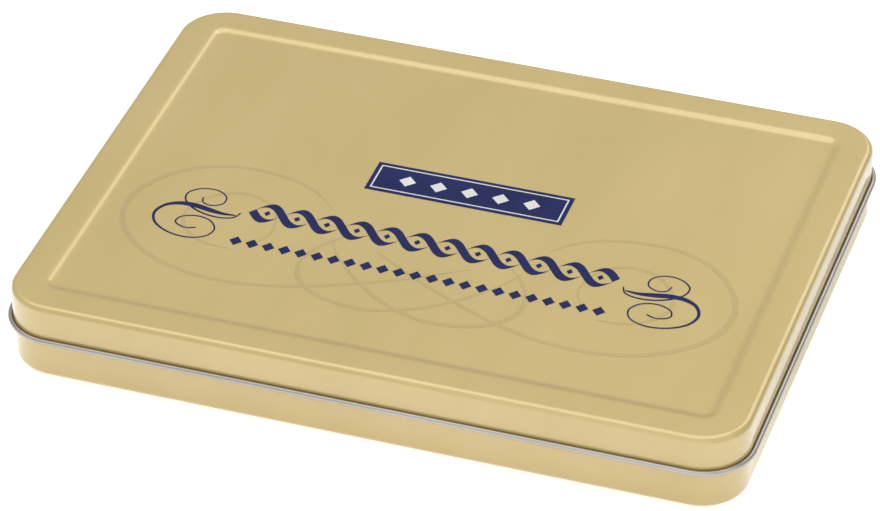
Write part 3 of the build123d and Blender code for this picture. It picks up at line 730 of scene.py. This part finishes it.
pages = paper("uncoated_paper", ("#EFECE2", "#F6F3EA"), (0.8, 0.95), 0.0)
card = paper("coated_card", ("#2B365E", "#33406B"), (0.45, 0.6), 0.5)
carried_over("booklet_pages", pages)
carried_over("booklet_cover", card)
print("booklet:", pages.name, "in", card.name)

# %% [markdown]
# ## Printing on the lid
# The lid is printed before it is pressed: opaque navy ink for the ornament, white for the marks
# on the label, and a slightly darker, greener tone of the gold lacquer for the large faint
# loops behind them. Printing ink is matt, because its pigment stands out of a thin binder. Ink
# is a film, so each part of the print is a very thin slab that lies on the panel and moves with
# the lid. Where two inks cross, the later one lies a little higher, because two faces in one
# plane would flicker.

# %% Print finishes and layers
def ink(name, *tones):
    """Opaque screen ink, even in tone, with a fine dull tooth."""
    material, tree = new_finish(name)
    tooth = pattern(tree, 0.5)
    clad(tree, (pattern(tree, 9.0), *tones), (tooth, 0.45, 0.55), (tooth, 0.05, 0.02), {
        "Specular IOR Level": 0.15})
    return material


navy = ink("navy_printing_ink", "#161E54", "#1B2561")
white = ink("white_printing_ink", "#E9E9E6", "#F1F1EF")
ghost = lacquer("tinted_gold_lacquer", "#BBA453", "#C1AA5D")
FILM, LAYER = 0.02, 0.003
PANEL = TIN_HEIGHT - PANEL_DEPTH
LOOPS, ORNAMENT, ON_LABEL = PANEL + 0.008, PANEL + 0.035, PANEL + 0.06
print("prints lie on the panel at", PANEL, "mm, each film", FILM, "mm thick")

# %% [markdown]
# ### Pens that draw
# The strokes are drawn the way a pen draws them, along a line, and that is a job for a tree. A
# pointed pen's line swells where the pen is pressed, by the "swell" mark on its points. A broad
# pen's nib is a straight edge held at one angle, so its line is drawn out along that edge.

# %% Parts that both pens share
FILM_WELD = 0.001


def film(tree, flat, thickness):
    """Nodes that turn flat faces into a closed slab of this thickness."""
    rise = add(tree, "ShaderNodeCombineXYZ", {"Z": thickness})
    raised = add(tree, "GeometryNodeExtrudeMesh", {
        "Mesh": flat, "Offset": rise, "Offset Scale": 1.0, "Individual": False}, mode="FACES")
    under = add(tree, "GeometryNodeFlipFaces", {"Mesh": flat})
    both = add(tree, "GeometryNodeJoinGeometry")
    tree.links.new(raised.outputs["Mesh"], both.inputs[0])
    tree.links.new(under.outputs[0], both.inputs[0])
    return add(tree, "GeometryNodeMergeByDistance", {"Geometry": both, "Distance": FILM_WELD * MM})


def smooth_line(tree, line, step):
    """Nodes that pass a smooth curve through a line's points."""
    curve = add(tree, "GeometryNodeMeshToCurve", {"Mesh": line})
    curve = add(tree, "GeometryNodeCurveSplineType", {"Curve": curve}, spline_type="CATMULL_ROM")
    curve = add(tree, "GeometryNodeResampleCurve", {"Curve": curve, "Length": step}, mode="LENGTH")
    return add(tree, "GeometryNodeSetCurveNormal", {"Curve": curve}, mode="Z_UP")


print("films are", FILM, "mm thick, welded within", FILM_WELD, "mm")

# %% Pointed pen
pointed_tree, given = new_tree("pointed_pen", (
    ("Step", "Float"), ("Film", "Float"), ("Ink", "Material")))
curve = smooth_line(pointed_tree, given["Line"], given["Step"])
nib = add(pointed_tree, "GeometryNodeCurvePrimitiveLine", {
    "Start": (-0.5, 0, 0), "End": (0.5, 0, 0)})
press = add(pointed_tree, "GeometryNodeInputNamedAttribute", {"Name": "swell"}, data_type="FLOAT")
stroke = add(pointed_tree, "GeometryNodeCurveToMesh", {
    "Curve": curve, "Profile Curve": nib, "Scale": press})
end_tree(pointed_tree, film(pointed_tree, stroke, given["Film"]), given["Ink"])

# %% Broad pen
broad_tree, given = new_tree("broad_pen", (
    ("Step", "Float"), ("Nib Edge", "Vector"), ("Film", "Float"), ("Ink", "Material")))
curve = smooth_line(broad_tree, given["Line"], given["Step"])
edges = add(broad_tree, "GeometryNodeCurveToMesh", {"Curve": curve})
stroke = add(broad_tree, "GeometryNodeExtrudeMesh", {
    "Mesh": edges, "Offset": given["Nib Edge"], "Offset Scale": 1.0}, mode="EDGES")
end_tree(broad_tree, film(broad_tree, stroke.outputs["Mesh"], given["Film"]), given["Ink"])


# %% Lines for the pens
def pen_lines(name, lines, height, weight=1.0):
    """Lines for a tree: each is a list of (x, y, swell) in millimetres, and the weight makes all
    swells heavier. Each lies a little higher than the one before, so that no two films share a
    face where lines cross."""
    spots, edges, swells = [], [], []
    for level, points in enumerate(lines):
        first = len(spots)
        spots += [(x * MM, y * MM, (height + level * LAYER) * MM) for x, y, _ in points]
        swells += [swell * weight * MM for _, _, swell in points]
        edges += [(first + i, first + i + 1) for i in range(len(points) - 1)]
    mesh = bpy.data.meshes.new(name)
    mesh.from_pydata(spots, edges, [])
    mesh.attributes.new("swell", "FLOAT", "POINT").data.foreach_set("value", swells)
    return new_piece(name, mesh)


def mirrored(*lines):
    """The lines, and the same lines seen in a mirror at x = 0."""
    return [*lines, *[[(-x, y, swell) for x, y, swell in points] for points in lines]]


def printed(piece):
    """Merge a print's doubles, point its faces outward, and let it ride on the lid."""
    tidy(piece, sharp=30.0, merge=0.0002)
    ready(piece, "lid", "gold_lacquer")


print("a mirrored stroke makes", len(mirrored([(1, 0, 1)])), "lines")

# %% [markdown]
# ### Loops and flourishes
# Large faint loops fill the lower half of the panel: each is one stroke that winds out of a
# small spiral, and a cradle of two crossing strokes joins them. Over them, at both ends of the
# band's place, stands a flourish of the kind that penmen have used for centuries: two spirals
# joined by a swelling stroke. Everything on the right mirrors the left.

# %% Faint loops
outer_loop = [
    (-33.5, -9.0, .4), (-42.0, -1.5, .7), (-55.0, 2.6, .9), (-70.0, 2.2, 1.0), (-83.3, -5.0, 1.2),
    (-91.4, -18.5, 1.4), (-90.5, -32.0, 1.4), (-82.0, -43.0, 1.3), (-68.0, -50.2, 1.1),
    (-51.0, -52.0, 1.0), (-33.0, -48.8, 1.0), (-15.0, -41.5, .9), (2.0, -32.5, .7),
    (14.0, -25.0, .4)]
inner_loop = [
    (-50.0, -33.0, .3), (-46.6, -25.0, .6), (-49.0, -15.5, .8), (-57.0, -9.8, .8),
    (-66.5, -11.5, .8), (-73.5, -20.0, .8), (-72.5, -29.5, .8), (-65.0, -35.6, .7),
    (-55.5, -36.9, .3)]
cradle = [
    (-24.0, -19.5, .3), (-30.5, -27.0, .7), (-33.8, -36.0, 1.0), (-31.0, -45.0, 1.2),
    (-22.0, -51.0, 1.1), (-8.0, -52.4, 1.0), (6.0, -47.0, .9), (17.5, -38.0, .8),
    (25.0, -29.5, .5), (29.0, -22.5, .3)]
LOOP_WEIGHT = 1.35
faint = pen_lines("lid_print_loops", mirrored(outer_loop, inner_loop, cradle), LOOPS, LOOP_WEIGHT)
made_by(faint, pointed_tree, {"Step": 0.8 * MM, "Film": FILM * MM, "Ink": ghost})
printed(faint)

# %% Flourishes
lower = [
    (-68.4, -29.9, .5), (-71.6, -30.9, .5), (-75.0, -29.2, .5), (-74.4, -26.2, .5),
    (-70.2, -24.4, .5), (-65.4, -25.6, .5), (-62.9, -29.4, .5), (-64.6, -33.4, .5),
    (-69.6, -35.3, .55), (-75.6, -34.4, .6), (-80.6, -31.2, .75), (-82.6, -26.6, .9),
    (-81.0, -22.2, 1.1), (-77.2, -19.9, 1.6), (-72.5, -19.6, 2.0), (-67.6, -20.5, 1.9),
    (-63.4, -21.1, 1.2), (-59.4, -20.8, .5)]
upper = [
    (-71.6, -15.0, .45), (-70.8, -17.4, .45), (-68.0, -18.2, .45), (-65.0, -16.4, .45),
    (-65.2, -12.8, .45), (-68.8, -10.5, .45), (-73.4, -11.0, .45), (-76.6, -13.9, .5),
    (-76.2, -17.6, .55), (-73.0, -20.8, .6), (-68.2, -22.8, .6), (-63.2, -23.2, .55),
    (-59.6, -21.9, .5), (-58.4, -19.2, .45)]
flourish = pen_lines("lid_print_flourishes", mirrored(lower, upper), ORNAMENT)
made_by(flourish, pointed_tree, {"Step": 0.25 * MM, "Film": FILM * MM, "Ink": navy})
printed(flourish)

# %% [markdown]
# ### Band and lozenges
# Between the flourishes runs a plain interlaced band, as a broad nib draws it: two waves that
# cross, thick where they fall and hair-thin where they rise, with the nib held at one angle. A
# row of lozenges, the marks that a broad nib makes when it is set down, runs below, and a
# navy label with a white line round it stands above. None of them spells anything.

# %% Interlaced band
WAVES, BAND_START, BAND_END, BAND_Y, BAND_HEIGHT = 6, -55.5, 55.5, -17.0, 3.9
POINTS_A_WAVE = 8
NIB_ANGLE, NIB_WIDTH = radians(52), 2.7
HALF_NIB = (0.8, 1.0)  # the nib draws to one side of its line, so the line starts back by this


def wave(phase):
    """Points along one wave of the band."""
    points = []
    for i in range(WAVES * POINTS_A_WAVE + 1):
        share = i / (WAVES * POINTS_A_WAVE)
        rise = BAND_HEIGHT * sin(2 * pi * WAVES * share + phase)
        points.append((BAND_START + share * (BAND_END - BAND_START) - HALF_NIB[0],
                       BAND_Y - HALF_NIB[1] + rise, 1.0))
    return points


band = pen_lines("lid_print_band", [wave(0), wave(pi)], ORNAMENT)
nib_edge = (NIB_WIDTH * MM * cos(NIB_ANGLE), NIB_WIDTH * MM * sin(NIB_ANGLE), 0)
made_by(band, broad_tree, {
    "Step": 0.4 * MM, "Film": FILM * MM, "Ink": navy, "Nib Edge": nib_edge})
printed(band)

# %% Rows of lozenges
dot_tree, given = new_tree("row_of_lozenges", (
    ("Count", "Int"), ("Start", "Vector"), ("Pitch", "Vector"), ("Size", "Vector"),
    ("Ink", "Material")))
spots = add(dot_tree, "GeometryNodeMeshLine", {
    "Count": given["Count"], "Start Location": given["Start"], "Offset": given["Pitch"]})
mark = add(dot_tree, "GeometryNodeMeshCylinder", {"Vertices": 4, "Radius": 0.5, "Depth": 1.0})
marks = add(dot_tree, "GeometryNodeInstanceOnPoints", {
    "Points": spots, "Instance": mark, "Scale": given["Size"]})
end_tree(dot_tree, marks, given["Ink"])


def lozenges(name, count, start, pitch, size, ink_used, height):
    """A row of diamond marks: count, first place, pitch and size in millimetres."""
    piece = pen_lines(name, [], height)
    made_by(piece, dot_tree, {
        "Count": count, "Start": (start[0] * MM, start[1] * MM, (height + FILM / 2) * MM),
        "Pitch": (pitch * MM, 0, 0), "Size": (size[0] * MM, size[1] * MM, FILM * MM),
        "Ink": ink_used})
    printed(piece)


lozenges("lid_print_lozenges", 23, (-55.0, -32.6), 5.0, (3.9, 4.4), navy, ORNAMENT)
eye_pitch = (BAND_END - BAND_START) / WAVES / 2
lozenges("lid_print_eyes", WAVES * 2, (BAND_START + eye_pitch / 2, BAND_Y), eye_pitch,
         (2.0, 2.6), navy, ORNAMENT)


# %% Label
def slab_of(name, corners, height, material):
    """A flat printed shape with straight sides: rings of corners, the second one a hole."""
    work = bmesh.new()
    levels = [[[work.verts.new((x * MM, y * MM, (height + lift) * MM)) for x, y in ring]
               for ring in corners] for lift in (0, FILM)]
    for level in levels:
        if len(corners) == 1:
            work.faces.new(level[0])
        else:
            wall_between(work, *level)
    for low, high in zip(*levels):
        wall_between(work, low, high)
    mesh = mesh_from(work, name)
    mesh.materials.append(material)
    printed(new_piece(name, mesh))


def rectangle(centre, size, inset=0.0):
    """Corners of a rectangle, in order, drawn in from its size by this inset."""
    half = [side / 2 - inset for side in size]
    return [(centre[0] + a * half[0], centre[1] + b * half[1])
            for a, b in ((-1, -1), (1, -1), (1, 1), (-1, 1))]


LABEL, LABEL_SIZE, LABEL_LINE = (2.2, 11.1), (60.8, 14.3), (1.3, 1.75)
LABEL_MARKS, MARK_PITCH = 5, 9.6
slab_of("lid_print_label", [rectangle(LABEL, LABEL_SIZE)], ORNAMENT, navy)
slab_of("lid_print_label_line",
        [rectangle(LABEL, LABEL_SIZE, inset) for inset in LABEL_LINE], ON_LABEL, white)
lozenges("lid_print_label_marks", LABEL_MARKS, (LABEL[0] - 2 * MARK_PITCH, LABEL[1]), MARK_PITCH,
         (5.2, 5.2), white, ON_LABEL)

# %% [markdown]
# ## Floor
# The tin stands on a plain white floor. The floor looks white to the camera, and its Diffuse
# part still takes the tin's shadow. In reflections it is brighter in front of the tin than
# beside and behind it, so that the skirts don't all mirror the same white. It lies a hair below
# the tin's foot, because two faces in one plane would flicker.

# %% White studio floor
def seen_by(tree, *kinds):
    """A factor that is 1 for these kinds of ray and 0 for all others."""
    ray = add(tree, "ShaderNodeLightPath")
    share = ray.outputs[kinds[0]]
    for kind in kinds[1:]:
        share = add(tree, "ShaderNodeMath", {0: share, 1: ray.outputs[kind]}, operation="MAXIMUM")
    return share


CAMERA_GLOW = 0.62
BRIGHT_GLOW, BRIGHT_Y = 0.85, -90.0
DULL_GLOW, DULL_Y = 0.4, -10.0
FLOOR_WIDTH, FLOOR_LOW = 6000.0, -0.05

floor_finish, tree = new_finish("white_studio_floor")
camera_share = add(tree, "ShaderNodeMath", {0: seen_by(tree, "Is Camera Ray"), 1: CAMERA_GLOW},
                   operation="MULTIPLY")
spot = add(tree, "ShaderNodeSeparateXYZ", {0: add(tree, "ShaderNodeTexCoord").outputs["Object"]})
from_front = add(tree, "ShaderNodeMapRange", {
    "Value": spot.outputs["Y"], "From Min": BRIGHT_Y * MM, "From Max": DULL_Y * MM,
    "To Min": BRIGHT_GLOW, "To Max": DULL_GLOW})
gloss_share = add(tree, "ShaderNodeMath", {
    0: seen_by(tree, "Is Glossy Ray", "Is Transmission Ray"), 1: from_front},
    operation="MULTIPLY")
glow = add(tree, "ShaderNodeMath", {0: camera_share, 1: gloss_share}, operation="ADD")
matt = add(tree, "ShaderNodeBsdfDiffuse", {"Color": colour("#F4F4F4")})
bright = add(tree, "ShaderNodeEmission", {"Color": (1, 1, 1, 1), "Strength": glow})
white_floor = add(tree, "ShaderNodeAddShader", {0: matt, 1: bright})
add(tree, "ShaderNodeOutputMaterial", {"Surface": white_floor})
print("floor glows", BRIGHT_GLOW, "in front and", DULL_GLOW, "behind in reflections")

# %% Floor
mesh = bpy.data.meshes.new("studio_floor")
corners = [(x * MM, y * MM, FLOOR_LOW * MM)
           for x, y in rectangle((0, 0), (FLOOR_WIDTH, FLOOR_WIDTH))]
mesh.from_pydata(corners, [], [(0, 1, 2, 3)])
mesh.materials.append(floor_finish)
floor = new_piece("studio_floor", mesh)
print("floor", FLOOR_WIDTH * MM, "m wide,", -FLOOR_LOW, "mm below the tin")

# %% [markdown]
# ## Room
# The room is white to the camera all round. In reflections it is white in front and overhead,
# and falls to a soft grey low down behind the tin, which gives the gold and the bare tin
# something darker to mirror. As light it is dim, so that the lamps do the work.

# %% White room
ROOM_LIGHT, DARK_WALL = 0.5, 0.4
BEHIND_WEIGHT, DARK_AT, WHITE_AT = -0.6, -0.5, 0.6

world = bpy.data.worlds.new("white_room")
world.use_nodes = True
tree = world.node_tree
tree.nodes.clear()
way = add(tree, "ShaderNodeSeparateXYZ", {0: add(tree, "ShaderNodeTexCoord").outputs["Generated"]})
forward_up = add(tree, "ShaderNodeMath", {
    0: way.outputs["Y"], 1: BEHIND_WEIGHT, 2: way.outputs["Z"]}, operation="MULTIPLY_ADD")
wall = add(tree, "ShaderNodeMapRange", {
    "Value": forward_up, "From Min": DARK_AT, "From Max": WHITE_AT,
    "To Min": DARK_WALL, "To Max": 1.0})
shown = add(tree, "ShaderNodeMath", {0: seen_by(tree, "Is Camera Ray"), 1: wall},
            operation="MAXIMUM")
strength = add(tree, "ShaderNodeMapRange", {
    "Value": seen_by(tree, "Is Camera Ray", "Is Glossy Ray", "Is Transmission Ray"),
    "To Min": ROOM_LIGHT, "To Max": shown})
room = add(tree, "ShaderNodeBackground", {"Color": (1, 1, 1, 1), "Strength": strength})
add(tree, "ShaderNodeOutputWorld", {"Surface": room})
bpy.context.scene.world = world
bpy.context.scene.view_settings.view_transform = "Standard"
print("room: light", ROOM_LIGHT, "and from", DARK_WALL, "to 1 in reflections")

# %% [markdown]
# ## Lamps
# Four soft square lamps light the tin at a plain level: a large one overhead, a smaller one
# behind on the right whose reflection brightens the lid's slopes, a weak one on the right for
# that side's skirt, and a large one in front for the front skirt. Their size is what makes
# their reflections in the lacquer soft.

# %% Softboxes
def lamp(name, place, size, watts):
    """A square soft lamp that shines at the tin's middle. Sizes in metres."""
    light = bpy.data.lights.new(name, "AREA")
    light.size, light.energy = size, watts
    thing = new_piece(name, light)
    turn = Vector(place).to_track_quat("Z", "Y").to_matrix().to_4x4()
    thing.matrix_world = Matrix.Translation(place) @ turn
    print(name, "shines from", round(Vector(place).length, 2), "m away")


lamp("overhead_softbox", (-0.2, 0.2, 1.5), 1.6, 8.2)
lamp("back_right_softbox", (0.35, 1.4, 1.2), 1.0, 3.6)
lamp("right_softbox", (1.2, -0.5, 0.8), 0.9, 1.0)
lamp("front_softbox", (0.3, -1.6, 0.8), 1.5, 3.6)

# %% [markdown]
# ## Camera
# The camera stands in front, a little to the right and well above, and looks through a long
# lens, so that the tin's edges run nearly parallel. Its place is given by the two angles that
# it looks along, how far away it is, and how far it is moved across its own view.

# %% Camera
azimuth, elevation, tilt = radians(18.364), radians(36.073), radians(-0.159)
away, across, above = 1372.97, -3.157, 7.268
LENS, SENSOR_WIDTH = 189.87, 36.0

backward = Vector((sin(azimuth) * cos(elevation), -cos(azimuth) * cos(elevation), sin(elevation)))
level_right = Vector((cos(azimuth), sin(azimuth), 0))
level_up = backward.cross(level_right)
right = cos(tilt) * level_right + sin(tilt) * level_up
up = cos(tilt) * level_up - sin(tilt) * level_right
place = (backward * away + level_right * across + level_up * above) * MM

view = bpy.data.cameras.new("camera")
view.lens, view.sensor_width = LENS, SENSOR_WIDTH
view.clip_start, view.clip_end = 0.05, 20.0
camera = new_piece("camera", view)
turn = Matrix((right, up, backward)).transposed().to_4x4()
camera.matrix_world = Matrix.Translation(place) @ turn
bpy.context.scene.camera = camera
print("camera at", [round(v, 3) for v in place], "m")

# %% [markdown]
# ## Finish
# The view layer is brought up to date once more. The dressed box must stay the size of
# the solids.

# %% Update
bpy.context.view_layer.update()
